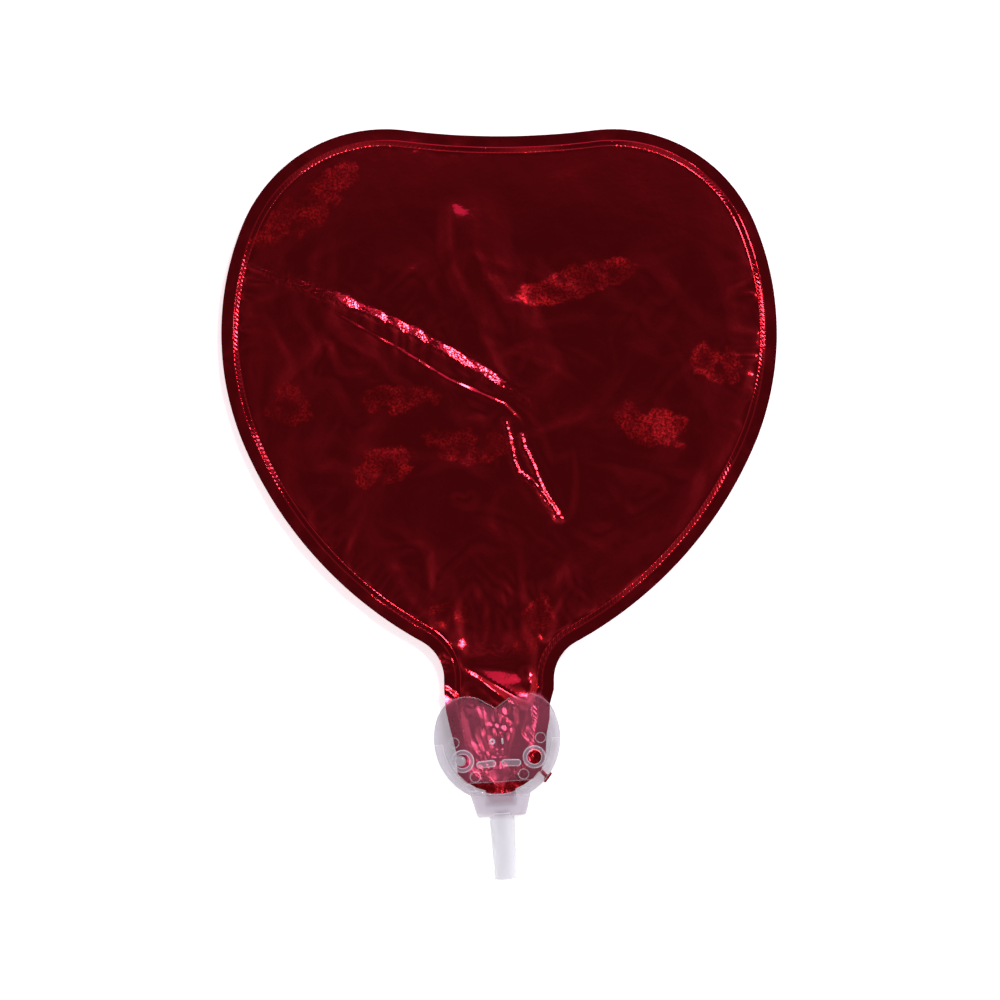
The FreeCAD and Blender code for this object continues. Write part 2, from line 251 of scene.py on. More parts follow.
def is_inside(points):
    """True for each point inside the edge, by counting the edges to its right."""
    inside = np.zeros(len(points), bool)
    for (ax, ay), (bx, by) in zip(outline, next_point):
        crosses = (ay > points[:, 1]) != (by > points[:, 1])
        if crosses.any():
            at = ax + (points[crosses, 1] - ay) * (bx - ax) / (by - ay)
            inside[crosses] ^= points[crosses, 0] < at
    return inside


# %% Rings beside the edge, and even points inside
FLANGE = 4.8                  # trimmed film outside the weld
WELD = 2.2                    # width of the weld
RINGS = (1.3, 2.6, 3.8, 4.5, 4.8, 5.1, 5.5, 5.9, 6.3, 6.7, 7.0, 7.3, 7.9, 8.6)
SPACING = 1.25
FINE_SPACING = 0.62
PIN_SPACING = 0.55
REACH_X, REACH_Y = 125, 170   # the film lies within these
ON_FLANK = slice(200, 201)    # any point of the edge can tell which way is in
# The creases that need finer points: the long ridge, the line below it and the fork.
LONG_RIDGE = [(-104, 97), (-87, 91), (-68, 84), (-47, 75), (-29, 66), (-12, 56), (2, 48), (17, 38)]
LOWER_LINE = [(-74, 82), (-53, 70), (-42, 64), (-21, 51), (2, 41), (8, 35), (10, 30)]
LEFT_STRAND = [(2, 37), (4, 28), (6, 18), (8, 13), (14, 9), (22, -1), (25, -8)]
RIGHT_STRAND = [(9, 30), (10, 24), (13, 18), (17, 8), (20, 2), (27, -8)]
LEFT_PIN, RIGHT_PIN = (-15.65, -8.5), (15.65, -8.5)   # in the clip's axes
PIN_R = 1.95
PIN_OPENING = 2.1             # the film is open this far round the left pin

run = np.roll(outline, -1, axis=0) - np.roll(outline, 1, axis=0)
inward = np.stack([-run[:, 1], run[:, 0]], axis=1) / np.linalg.norm(run, axis=1)[:, None]
if not is_inside(outline[ON_FLANK] + inward[ON_FLANK])[0]:
    inward = -inward

layers = [outline]
for offset in RINGS:
    ring = outline + inward * offset
    distance, _ = from_edge(ring)
    keep = (distance > offset - 0.05) & is_inside(ring)
    layers.append(ring[keep])


def even_points(spacing):
    """Points in staggered rows all over the inside of the rings."""
    rows = np.arange(-REACH_Y, REACH_Y, spacing * math.sqrt(3) / 2)
    columns = np.arange(-REACH_X, REACH_X, spacing)
    x, y = np.meshgrid(columns, rows)
    x = x + (np.arange(len(rows)) % 2 * spacing / 2)[:, None]
    found = np.stack([x.ravel(), y.ravel()], axis=1)
    found = found[is_inside(found)]
    distance, _ = from_edge(found)
    return found[distance > RINGS[-1] + 0.6]


def line_distance(points, line):
    """How far each point is from a line of straight runs."""
    nearest = np.full(len(points), 1e9)
    for a, b in zip(np.array(line[:-1], float), np.array(line[1:], float)):
        part = np.clip((points - a) @ (b - a) / ((b - a) @ (b - a)), 0, 1)
        nearest = np.minimum(nearest, np.linalg.norm(points - a - part[:, None] * (b - a), axis=1))
    return nearest


def wants_fine(points):
    near = line_distance(points, LONG_RIDGE) < 3.6
    for line in (LOWER_LINE, LEFT_STRAND, RIGHT_STRAND):
        near |= line_distance(points, line) < 2.0
    _, along_clip = in_clip(points[:, 0], points[:, 1])
    return near | (along_clip < 15)


coarse, fine_points = even_points(SPACING), even_points(FINE_SPACING)
even = np.concatenate([coarse[~wants_fine(coarse)], fine_points[wants_fine(fine_points)]])


def around_pin(pin, radii):
    rings = [from_clip([pin])] if 0 in radii else []
    for radius in radii:
        count = max(1, round(2 * math.pi * radius / PIN_SPACING))
        turn = 2 * math.pi * np.arange(count) / count
        circle = np.stack([pin[0] + radius * np.cos(turn), pin[1] + radius * np.sin(turn)], axis=1)
        if radius > 0:
            rings.append(from_clip(circle))
    return np.concatenate(rings)


pin_radii = {
    LEFT_PIN: (2.15, 2.6, 3.2, 4.0),
    RIGHT_PIN: (0, 0.6, 1.2, 1.7, 2.05, 2.3, 2.55, 2.8, 3.2, 4.0),
}
extra = []
for pin, radii in pin_radii.items():
    middle = from_clip([pin])[0]
    kept = []
    for layer in layers[1:] + [even]:
        kept.append(layer[np.linalg.norm(layer - middle, axis=1) > radii[-1] + 0.4])
    layers = [outline] + kept[:-1]
    even = kept[-1]
    rings = around_pin(pin, radii)
    distance, _ = from_edge(rings)
    extra.append(rings[is_inside(rings) & (distance > 0.5)])
points = np.round(np.concatenate(layers + [even] + extra), 4)
print(len(points), "points")

# %% Join the points
found = delaunay_2d_cdt([Vector(p) for p in points], [], [list(range(len(outline)))], 1, 1e-6, False)
film_xy = np.array([(p.x, p.y) for p in found[0]])
film_faces = np.array(found[2])
pin_middle = from_clip([LEFT_PIN])[0]
face_middle = film_xy[film_faces].mean(axis=1)
clear_of_pin = np.linalg.norm(face_middle - pin_middle, axis=1) > PIN_OPENING
film_faces = film_faces[clear_of_pin & is_inside(face_middle)]
first, second, third = (film_xy[film_faces[:, k]] for k in range(3))
turns = (second - first)[:, 0] * (third - first)[:, 1] - (second - first)[:, 1] * (third - first)[:, 0]
film_faces[turns < 0] = film_faces[turns < 0][:, ::-1]
used = np.unique(film_faces)
renumber = np.full(len(film_xy), -1)
renumber[used] = np.arange(len(used))
film_xy, film_faces = film_xy[used], renumber[film_faces]
film_depth, film_round = from_edge(film_xy)

# %% [markdown]
# ## Heights
# A let-down foil balloon lies almost flat. What the eye reads is slope: a mirror tilted by
# five degrees shows what is ten degrees off. Four things tilt this one.
# The first is the resting shape, two slack layers on a table, joined at the weld. It is a
# middle surface that wavers a little, and a rise above it for the front and a drop below
# it for the back.

# %% Smooth steps and wandering
X, Y = film_xy[:, 0], film_xy[:, 1]
CLIP_X, CLIP_Y = in_clip(X, Y)


def ease(value, low, high):
    """0 below low, 1 above high, and a smooth step between."""
    t = np.clip((value - low) / (high - low), 0, 1)
    return t * t * (3 - 2 * t)


def wander(size, seed, stretch=1.0, turn=0.0):
    """Smooth noise between about -1 and 1, with bumps of this size in millimetres."""
    c, s = math.cos(math.radians(turn)), math.sin(math.radians(turn))
    along, across = (X * c + Y * s) / (size * stretch), (Y * c - X * s) / size
    return 1.4 * np.array([noise.noise((a, b, seed)) for a, b in zip(along, across)])


# %% The middle surface
free = ease(CLIP_Y, 14, 70)          # 0 at the clip, 1 where the film lies free
middle_z = SEAM_Z + free * (1.0 * wander(85, 1.5) + 0.35 * wander(28, 2.5))
print("middle", middle_z.min().round(2), middle_z.max().round(2))

# %% [markdown]
# The second is the creases. A crease is a line with a flank on each side, one often
# steep and narrow and the other wide and shallow. A tent of that shape, with its ridge
# rounded to a fraction of a millimetre and its ends let down to nothing, can be laid along
# any line, and adding up a few hundred of them gives crumpled film. The few big ones are
# listed one by one. The small ones are scattered by a seeded generator, so that every run
# gives the same ones.

# %% One crease
def tent(across, left, right, rounding):
    width = np.where(across > 0, right, left)
    raised = 1 - (np.sqrt(across ** 2 + rounding ** 2) - rounding) / width
    return np.clip(raised, 0, None)


def crease(line, height, left, right, rounding=0.5, ends=0.25, grows=False):
    """Height in mm of a crease along a line; left and right as one walks it.

    One that grows starts at a point and gets higher and wider at one slope, as a dart does.
    """
    line = np.array(line, float)
    nearest = np.full(len(X), 1e9)
    side_of = np.zeros(len(X))
    along = np.zeros(len(X))
    travelled = 0.0
    for (ax, ay), (bx, by) in zip(line[:-1], line[1:]):
        length = math.hypot(bx - ax, by - ay)
        part = ((X - ax) * (bx - ax) + (Y - ay) * (by - ay)) / length ** 2
        part = np.clip(part, 0, 1)
        distance = np.hypot(X - ax - part * (bx - ax), Y - ay - part * (by - ay))
        turn = (bx - ax) * (Y - ay) - (by - ay) * (X - ax)
        closer = distance < nearest
        nearest = np.where(closer, distance, nearest)
        side_of = np.where(closer, -np.sign(turn), side_of)
        along = np.where(closer, travelled + part * length, along)
        travelled += length
    share = along / travelled
    if ends > 0:
        fade = ease(share, 0, ends) * ease(1 - share, 0, ends)
    else:
        fade = 1.0
    if grows:
        size = np.clip(share, 0.04, 1)
        fade = size * ease(1 - share, 0, 0.12)
        left, right = left * size, right * size
    return height * fade * tent(side_of * nearest, left, right, rounding)


def scattered(count, seed, lengths, heights, flanks, turn=None, spread=180.0, region=None):
    """Many straight creases at random places, added up."""
    rng = np.random.default_rng(seed)
    total = np.zeros(len(X))
    where = np.flatnonzero(region) if region is not None else np.arange(len(X))
    for _ in range(count):
        x, y = film_xy[rng.choice(where)]
        angle = rng.uniform(0, 360) if turn is None else rng.normal(turn, spread)
        half = rng.uniform(*lengths) / 2
        dx, dy = math.cos(math.radians(angle)) * half, math.sin(math.radians(angle)) * half
        bend = rng.normal(0, 0.12)
        height = rng.uniform(*heights) * (1 if rng.random() < 0.6 else -1)
        left, right = rng.uniform(*flanks, size=2)
        near = np.hypot(X - x, Y - y) < half + max(left, right)
        if not near.any():
            continue
        along = (X[near] - x) * dx / half + (Y[near] - y) * dy / half
        across = (Y[near] - y) * dx / half - (X[near] - x) * dy / half
        across = across - bend * half * (1 - (along / half) ** 2)
        fade = np.clip(1 - (along / half) ** 2, 0, 1)
        total[near] += height * fade * tent(across, left, right, 0.3)
    return total


# %% The big creases of the front
front = 2.4 * (1 - np.exp(-np.clip(film_depth - 7, 0, None) / 32))

# The long ridge from the left flank to the middle of the heart, steep to the upper right.
steepness = 0.22 + 0.10 * wander(3.5, 6.5)
STEEP_AT = ((-63, 5), (-50, 5), (-41, 2.5), (-34, 3.5), (-19, 6), (-3, 6), (13, 3))   # x, half length
for x, half in STEEP_AT:
    steepness += 0.78 * np.exp(-((X - x) / half) ** 2)
front += crease(LONG_RIDGE, 1.27, 3.4, 15, 0.3, 0.22) * np.clip(steepness, 0.2, 1.1)
# A thinner one that runs below it.
front += crease(LOWER_LINE, 0.40, 1.2, 8, 0.12, 0.1)
# The ridge that leaves its end and falls to the right, in two strands.
front += crease(LEFT_STRAND, 0.42, 1.3, 8, 0.12, 0.08)
front += crease(RIGHT_STRAND, 0.38, 1.2, 3, 0.12, 0.08)
front += crease([(29, 27), (30, 9), (28, -9)], 0.4, 3, 7, 0.4)
front += crease([(-20, 4), (-13, 1), (-10, 6)], 0.35, 2, 4, 0.3)
# Soft ridges from the hollow of the heart down to the same place.
front += crease([(-12, 130), (-9, 101), (3, 72), (17, 43)], 1.2, 14, 9, 2.0)
front += crease([(-18, 128), (-19, 104), (-8, 80)], 0.8, 9, 6, 1.2)
front += crease([(17, 38), (45, 26), (78, 18)], 0.6, 14, 10, 2.0)
front += crease([(27, -8), (48, -22), (60, -38)], 0.5, 8, 12, 1.5)
front += crease([(-104, 62), (-74, 52), (-40, 49)], 0.5, 9, 12, 1.5)
front += crease([(-95, 22), (-60, 22), (-28, 12)], 0.5, 10, 8, 1.2)
print("big creases up to", front.max().round(2), "mm")

# %% The small creases of the front
open_film = (film_depth > 9) & (CLIP_Y > 22)
front_small = scattered(320, 11, (12, 70), (0.06, 0.42), (2.5, 12), region=open_film)
front_small += scattered(220, 12, (5, 22), (0.03, 0.15), (1.4, 4), region=open_film)
front_small += 0.22 * wander(19, 3.5)
front_small *= 0.85
ridge_gap = line_distance(film_xy, LONG_RIDGE)
for line in (LOWER_LINE, LEFT_STRAND, RIGHT_STRAND):
    ridge_gap = np.minimum(ridge_gap, line_distance(film_xy, line))
front_small *= 0.2 + 0.8 * ease(ridge_gap, 2, 9)
front_small *= 0.25 + 0.75 * ease(np.hypot(X - 34, Y - 78), 6, 20)     # taut here
taut_top = 1 - 0.75 * ease(Y, 92, 112)       # the film is taut along the top edge
front += front_small * ease(film_depth, 5.5, 12) * ease(CLIP_Y, 33, 46) * taut_top

# %% [markdown]
# The third is the edge. Film that was blown up and let down again puckers where the flat
# weld holds it, in short creases that run straight in from the weld. Outside the weld the
# trimmed flange is a little wavy.

# %% Puckers and flange
def puckers(seed):
    """Short creases square to the weld, strongest just inside it."""
    across = np.array([noise.noise((s / 5.5, d / 30, seed)) for s, d in zip(film_round, film_depth)])
    sharp = 1 - np.abs(across) * 3.2
    strength = np.array([noise.noise((s / 60, 3.0, seed)) for s in film_round]) + 0.6
    zone = ease(film_depth, 6.6, 8.2) * ease(24 - film_depth, 0, 15)
    return 0.42 * np.clip(sharp, -0.6, 1) * np.clip(strength, 0.15, 1) * zone


flange_wave = np.array([noise.noise((s / 9, 0.0, 7.5)) for s in film_round])
flange_fine = np.array([noise.noise((s / 3.2, 0.0, 8.5)) for s in film_round])
flange_zone = ease(FLANGE - film_depth, 0, 3.5)
flange = (0.45 * flange_wave + 0.12 * flange_fine) * flange_zone * ease(CLIP_Y, 8, 30)
middle_z += flange * ease(Y, -78, -60)
print("flange waves by", flange.min().round(2), flange.max().round(2), "mm")

# %% [markdown]
# The fourth is the neck. There the heart's full width is gathered into the clip, so the
# film stands in folds that run down into it. Its largest fold crosses the neck slantwise
# and shows its steep face to the light.

# %% The neck above the clip
GATHER = (-16.5, -66.0)        # where the folds meet, on the left weld
neck = crease([GATHER, (-5, -72.5), (16, -84.6)], 3.9, 14.6, 4.4, 0.2, 0, True)
neck += crease([GATHER, (-8, -74), (3, -84)], 0.5, 1.6, 3.0, 0.2, 0, True)
neck += crease([GATHER, (-13, -74), (-9, -85)], 0.5, 2.2, 3.0, 0.3, 0, True)
neck += crease([GATHER, (-19, -74), (-19, -86)], 0.6, 3, 2, 0.3, 0, True)
neck += crease([GATHER, (-20, -66), (-25, -65)], 0.6, 3, 3, 0.2, 0, True)
neck += crease([GATHER, (-16, -58), (-11, -50)], 0.25, 3, 2, 0.3, 0, True)
neck += crease([(9, -66), (14, -74), (17, -84)], 0.8, 3.5, 3, 0.4, 0.2)
neck += crease([(-12, -30), (-9, -50), (-12, -61)], 0.7, 5, 7, 0.8, 0.3)
neck += crease([(2, -26), (4, -48), (3, -61)], 0.6, 6, 4, 0.8, 0.3)
neck += crease([(12, -34), (11, -52), (13, -70)], 0.6, 4, 5, 0.6, 0.3)
pinch = crease([(-16.5, -66.5), (-25, -63.2)], 1.1, 2.8, 2.8, 0.2, 0, True)
pinch += crease([(-16.5, -67), (-25, -68.5)], 0.8, 2.2, 2.2, 0.2, 0, True)
pinch += crease([(-24, -75.5), (-17, -81)], 1.3, 2.0, 4.0, 0.2, 0.2)
middle_z += pinch
neck_film = (CLIP_Y > 32) & (CLIP_Y < 66) & (np.abs(X) < 40) & (film_depth > 7)
neck_small = scattered(90, 21, (8, 30), (0.05, 0.25), (1.5, 5), turn=-80, spread=22, region=neck_film)
# The steep face itself is pulled smooth.
smooth_face = ease(1.4 - np.hypot((X + 3) / 15, (Y + 70) / 7), 0, 0.5)
neck += neck_small * (1 - 0.85 * smooth_face)
front += neck * ease(film_depth, 6.5, 10) * ease(CLIP_Y, 6, 16)
print("neck folds up to", neck.max().round(2), "mm")
front = np.clip(front + puckers(9.5) * taut_top, 0.06, None) * ease(film_depth, 6.4, 7.6) + 0.06

# %% [markdown]
# Between the clip's two halves there is less than 3 mm for the film and the valve inside
# it. The heights there are set apart and blended in. The folds fan out from the hub, so
# they are noise across the fan's angle. One pin goes through the film. The other pushes
# it up through its hole in the cover, like a thimble. The ribs in the back half press
# their pattern into it.

# %% Heights in the clip
VALVE_TOP, VALVE_BOTTOM = 5.4, 5.2
VALVE_HALF, VALVE_FOOT, VALVE_HEAD = 13.0, -100.8, -34.9
MIDDLE, BACK_PRESSED, FRONT_PRESSED = 5.3, 5.08, 5.52
UNDER_BOSS, UNDER_COVER, IN_WINDOW, IN_SLOT = 6.05, 0.72, 0.9, 6.7   # room for the front's folds
COVER_FOOT, SLOT_TOP = -17.5, -20.5       # in the clip's y
BOSS_X, BOSS_Y = 14.8, -8.5
RIB_PITCH = 2.2
TAIL_HALF = 0.12                          # from the tail's middle to each sheet
THIMBLE_FRONT, THIMBLE_BACK = 8.12, 7.92
HUB_Y = -30.0                             # the folds fan out from here
fan_angle = np.degrees(np.arctan2(CLIP_X, CLIP_Y - HUB_Y))
fan_radius = np.hypot(CLIP_X, CLIP_Y - HUB_Y)
fan = np.array([noise.noise((a / 6.5, r / 40, 12.5)) for a, r in zip(fan_angle, fan_radius)])
fan_fine = np.array([noise.noise((a / 3.2, r / 22, 13.5)) for a, r in zip(fan_angle, fan_radius)])
fan_crossed = wander(8, 14.5)
folds = 0.35 + 1.0 * fan + 0.7 * fan_fine + 0.5 * fan_crossed
folds += crease(from_clip([(0, 12), (10, 4), (14.5, -3)]), 0.9, 3.2, 0.9, 0.25)
folds += crease(from_clip([(-17, 12), (-9, -3)]), 0.9, 2.4, 4.0, 0.3)
folds += crease(from_clip([(-5, 6), (9, 1)]), 0.5, 1.5, 3.0, 0.3)
folds = np.clip(folds, 0, 1)

past_cover = ease(COVER_FOOT - CLIP_Y, -1.0, 1.0)      # 0 under the cover, 1 below it
boss_gap = np.hypot(np.abs(CLIP_X) - BOSS_X, CLIP_Y - BOSS_Y)
bars_gap = ease(np.abs(CLIP_Y - BOSS_Y), 2.0, 3.5)
roomy = np.minimum(ease(boss_gap, 4.7, 6.5), bars_gap)   # 0 under the bosses and the bars
roof = UNDER_BOSS + UNDER_COVER * roomy + IN_WINDOW * past_cover
roof = np.where(CLIP_Y < SLOT_TOP, IN_SLOT, roof)
ribs = ease(3.2 - np.abs(CLIP_X), 0, 1) * ease(CLIP_Y, -24, -22.5) * ease(-3 - CLIP_Y, 0, 1.5)
ribs = ribs * np.sin(2 * math.pi * CLIP_Y / RIB_PITCH)
clip_front = FRONT_PRESSED + (roof - FRONT_PRESSED) * folds
clip_front += 0.14 * ribs * ease(CLIP_Y, -18, -17)
clip_back = BACK_PRESSED - 0.9 * np.clip(0.5 - 0.9 * fan, 0, 1) * ease(np.abs(CLIP_Y + 12), 8, 11)

in_tail = ease(-18.6 - CLIP_Y, 0, 1.6)
tail_wave = np.array([noise.noise((x / 2.6, y / 12, 16.5)) for x, y in zip(CLIP_X, CLIP_Y)])
tail_z = MIDDLE + 1.3 * tail_wave
clip_front = clip_front * (1 - in_tail) + (tail_z + TAIL_HALF) * in_tail
clip_back = clip_back * (1 - in_tail) + (tail_z - TAIL_HALF) * in_tail
edge_pinch = ease(film_depth, 5.0, 8.0) * (1 - in_tail) + in_tail
clip_middle_z = MIDDLE + 0.55 * fan * ease(film_depth, 0, 7) * (1 - in_tail)
clip_front = clip_middle_z + (clip_front - clip_middle_z) * edge_pinch
clip_back = clip_middle_z + (clip_back - clip_middle_z) * edge_pinch
clip_front = np.maximum(clip_front, clip_middle_z + 0.06)
clip_back = np.minimum(clip_back, clip_middle_z - 0.06)

pin_gap = np.hypot(CLIP_X - RIGHT_PIN[0], CLIP_Y - RIGHT_PIN[1])
thimble = ease(2.75 - pin_gap, 0, 0.62)
crumple = 0.22 * wander(1.1, 17.5) * ease(2.2 - pin_gap, 0, 0.8)
clip_front = clip_front * (1 - thimble) + (THIMBLE_FRONT + crumple) * thimble
clip_back = clip_back * (1 - thimble) + THIMBLE_BACK * thimble
print("in the clip", clip_back[CLIP_Y < 9].min().round(2), clip_front[CLIP_Y < 9].max().round(2))

# %% The two sheets
LIES_AT = 0.15                # the back sheet's lowest, on the table
back = 5.2 * (1 - np.exp(-np.clip(film_depth - 7, 0, None) / 30))
back_small = scattered(200, 31, (10, 55), (0.05, 0.3), (2.5, 10), region=open_film)
back_small += 0.5 * wander(32, 33.5) + 0.12 * wander(9, 34.5)
back += back_small * ease(film_depth, 5.5, 12) + crease(LONG_RIDGE, -0.8, 6, 14, 0.6)
back = np.clip(back + puckers(35.5), 0.06, None) * ease(film_depth, 6.4, 7.6) + 0.06

into_clip = ease(CLIP_Y, 9, 17)       # 0 in the clip, 1 above it
front_z = (middle_z + front) * into_clip + clip_front * (1 - into_clip)
back_z = (middle_z - back) * into_clip + clip_back * (1 - into_clip)
back_z = np.maximum(back_z, LIES_AT)
front_z = np.maximum(front_z, back_z + 0.12)
weld_line = np.exp(-((film_depth - 4.8) / 0.35) ** 2) + np.exp(-((film_depth - 7.0) / 0.35) ** 2)
front_z += 0.05 * weld_line * into_clip
# Both sheets keep clear of the valve between them.
over_valve = (np.abs(X) < 13.4) & (Y < -34) & (Y > -101.5) & (film_depth > 7) & (thimble < 0.01)
front_z = np.where(over_valve, np.maximum(front_z, VALVE_TOP + 0.08), front_z)
back_z = np.where(over_valve, np.minimum(back_z, VALVE_BOTTOM - 0.08), back_z)
print("front", front_z.min().round(2), front_z.max().round(2))
print("back", back_z.min().round(2), back_z.max().round(2))

# %% [markdown]
# Film like this is about 0.04 mm thick. Here it is 0.08 mm, so that each sheet is a
# closed solid with an edge of its own. The mesh also carries what the material reads: a
# UV map that says how far round the heart and how far in from the edge a place is, and
# four numbers. They say how finely crinkled, how hazy and how slack the film is there, and
# how much it is pressed in the clip, where it is duller and has a painted glow, a paler red.

# %% Where the film is finely crinkled
def patch(x, y, long, wide, turn):
    c, s = math.cos(math.radians(turn)), math.sin(math.radians(turn))
    along, across = (X - x) * c + (Y - y) * s, (Y - y) * c - (X - x) * s
    return ease(1.25 - np.hypot(along / long, across / wide), 0, 0.7)


front_crinkle = np.maximum.reduce([
    patch(32, 92, 30, 8, 14), patch(-42, 43, 19, 9, 5), patch(-12, 24, 22, 9, -5),
    patch(-47, 16, 19, 10, 10), patch(-88, 41, 14, 10, -10), patch(62, 33, 22, 10, -20),
    patch(90, 58, 10, 15, 60), patch(-20, -46, 8, 12, 80), patch(-80, 122, 34, 11, 42),
    patch(14, -50, 16, 9, 60),
])
broken = front_crinkle + 0.45 * wander(9, 41.5) + 0.3 * wander(3.5, 42.5)
front_crinkle = ease(broken, 0.62, 0.86) * ease(front_crinkle, 0, 0.4) * (0.8 + 0.4 * wander(5, 48.5))
front_haze = np.clip(0.74 * front_crinkle + 0.16 * wander(22, 44.5), 0, 1)
# Under the cover's heart the film is pressed flat and gets a painted glow there, a paler
# red. Its outline there has two lobes.
lobes = np.minimum(12.1 + 0.6 * np.abs(CLIP_X), 17.8)
held = ease(lobes - CLIP_Y, -0.3, 0.6) * ease(26.0 - np.hypot(CLIP_X, CLIP_Y), -0.3, 0.6)
window = ease(COVER_FOOT - CLIP_Y, 0, 0.6) * ease(CLIP_Y + 23.0, 0, 0.6)
held = np.maximum(held * (1 - window), ease(-23.0 - CLIP_Y, 0, 0.6))
held = held * (1 - ease(3.0 - np.hypot(CLIP_X - RIGHT_PIN[0], CLIP_Y - RIGHT_PIN[1]), 0, 0.2))
# This mask gives the pressed film a painted glow, a paler red, and also makes it duller.
pressed_and_painted_glow = held * np.clip(0.92 + 0.25 * wander(9, 49.5), 0, 1)
front_haze = np.maximum.reduce([front_haze, held * 0.35, 0.6 * window])
long_flank = crease(LONG_RIDGE, 1, 6, 2, 0.2, 0.1)
fork = np.maximum(crease(LEFT_STRAND, 1, 3, 2, 0.2, 0.05), crease(RIGHT_STRAND, 1, 3, 2, 0.2, 0.05))
front_crinkle = np.clip(0.10 + long_flank + fork + 0.3 * patch(-2, -61, 10, 5, -20), 0, 1)
front_crinkle = np.maximum.reduce([front_crinkle, 0.12 * held, thimble, 0.5 * window])
back_haze = np.clip(0.15 + 0.5 * wander(34, 45.5) + 0.3 * wander(8, 46.5), 0, 1)
back_haze = np.maximum(back_haze, 0.35 * held)
back_crinkle = np.full(len(X), 0.2)
slack = ease(CLIP_Y, 30, 44) * 0.9 + 0.1
print("finely crinkled", round(float((front_haze > 0.5).mean()) * 100), "% of the front")


# %% Make the two sheets
THICKNESS = 0.08
CREASE_ANGLE = math.radians(50)          # sharper folds than this stay sharp


def new_sheet(name, places, faces):
    """A new object at the origin, with a mesh of these places."""
    mesh = bpy.data.meshes.new(name)
    mesh.from_pydata(places, [], faces)
    sheet = bpy.data.objects.new(name, mesh)
    bpy.context.scene.collection.objects.link(sheet)
    return sheet


def thicken(sheet, thickness):
    """Gives a sheet its thickness, away from the side that its faces point to."""
    bpy.ops.object.select_all(action="DESELECT")
    bpy.context.view_layer.objects.active = sheet
    sheet.select_set(True)
    solid = sheet.modifiers.new("thickness", "SOLIDIFY")
    solid.thickness = thickness * MM
    solid.offset = -1
    bpy.ops.object.modifier_apply(modifier=solid.name)


def film_sheet(name, heights, looks, upward):
    """A sheet of the film at these heights, which shows its upper or its lower side."""
    faces = film_faces if upward else film_faces[:, ::-1]
    sheet = new_sheet(name, (np.column_stack([film_xy, heights]) * MM).tolist(), faces.tolist())
    uv = sheet.data.uv_layers.new(name="from_edge")
    corners = faces.ravel()
    around = film_round[corners].reshape(-1, 3)
    # A face that spans the end of the round takes its distances from one side of it.
    wraps = around.max(axis=1) - around.min(axis=1) > film_round.max() / 2
    around[wraps] += np.where(around[wraps] < film_round.max() / 2, steps.sum(), 0)
    pairs = np.column_stack([around.ravel(), film_depth[corners]]) * MM
    uv.data.foreach_set("uv", pairs.ravel())
    for label, values in looks.items():
        sheet.data.attributes.new(label, "FLOAT", "POINT").data.foreach_set("value", values)
    thicken(sheet, THICKNESS)
    bpy.ops.object.shade_smooth_by_angle(angle=CREASE_ANGLE)
    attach(sheet, "clip")
    print(name, len(sheet.data.polygons), "faces")
    return sheet


front_looks = {"crinkle": front_crinkle, "haze": front_haze, "slack": slack, "pressed_and_painted_glow": pressed_and_painted_glow}
back_looks = {"crinkle": back_crinkle, "haze": back_haze, "slack": slack, "pressed_and_painted_glow": pressed_and_painted_glow}
front_foil = film_sheet("front_foil", front_z, front_looks, True)
back_foil = film_sheet("back_foil", back_z, back_looks, False)
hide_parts("front_panel")
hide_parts("back_panel")


# %% [markdown]
# One narrow fold of the neck missed the clip when it was closed. It runs down behind the
# back plate, and its corner sticks out past the disc at the lower right.

# %% The fold behind the clip
# Down its middle: x and y in the clip's axes, width, height, and the turn in degrees of
# the line straight across it.
FLAP = np.array([
    (13.0, 25.0, 5.0, 4.2, 14), (14.0, 18.0, 6.0, 2.2, 14), (14.6, 8.0, 6.5, 2.1, 14),
    (14.4, -4.0, 4.6, 2.1, 14), (15.6, -12.5, 2.0, 2.1, 14), (19.1, -16.95, 1.4, 2.1, 40),
    (19.65, -17.45, 5.0, 2.1, 51), (20.35, -18.05, 4.6, 2.05, 51),
])
ACROSS, ALONG = 8, 60
FLAP_LOOKS = {"crinkle": 0.3, "haze": 0.5, "slack": 0.5}

share = np.linspace(0, 1, len(FLAP))
fine_share = np.linspace(0, 1, ALONG)
flap_rows = np.array([np.interp(fine_share, share, column) for column in FLAP.T]).T
flap_places = []
for row, (x, y, width, level, turn) in enumerate(flap_rows):
    for column in range(ACROSS):
        t = column / (ACROSS - 1) - 0.5
        aside = t * width * math.cos(math.radians(turn))
        up = t * width * math.sin(math.radians(turn))
        ripple = 0.12 * math.sin(9 * t + 0.9 * row) + 0.1 * noise.noise((row / 4, t * 3, 61.5))
        place = from_clip([(x + aside, y + up)])[0]
        flap_places.append((place[0] * MM, place[1] * MM, (level + ripple) * MM))
flap_faces = []
for a in range((ALONG - 1) * ACROSS):
    if a % ACROSS < ACROSS - 1:
        flap_faces.append((a, a + 1, a + 1 + ACROSS, a + ACROSS))
flap = new_sheet("flap", flap_places, flap_faces)
flap.data.uv_layers.new(name="from_edge")
for label, value in FLAP_LOOKS.items():
    values = [value] * len(flap_places)
    flap.data.attributes.new(label, "FLOAT", "POINT").data.foreach_set("value", values)
thicken(flap, THICKNESS)
bpy.ops.object.shade_smooth_by_angle(angle=CREASE_ANGLE)
back_foil.select_set(True)
bpy.context.view_layer.objects.active = back_foil
bpy.ops.object.join()
print("fold behind the clip joined,", len(back_foil.data.polygons), "faces")

# %% [markdown]
# Inside the neck lie two strips of thin clear film, one on the other, round at the top
# and welded together down their sides. Air goes in between them through a straw, and
# presses them shut afterwards. Each one is a flat cut, so each is a sheet made row by
# row to that cut, with a slow wave in it.

# %% The two valve films
VALVE_THICKNESS = 0.04
VALVE_FRONT_Z, VALVE_BACK_Z = 5.37, 5.26


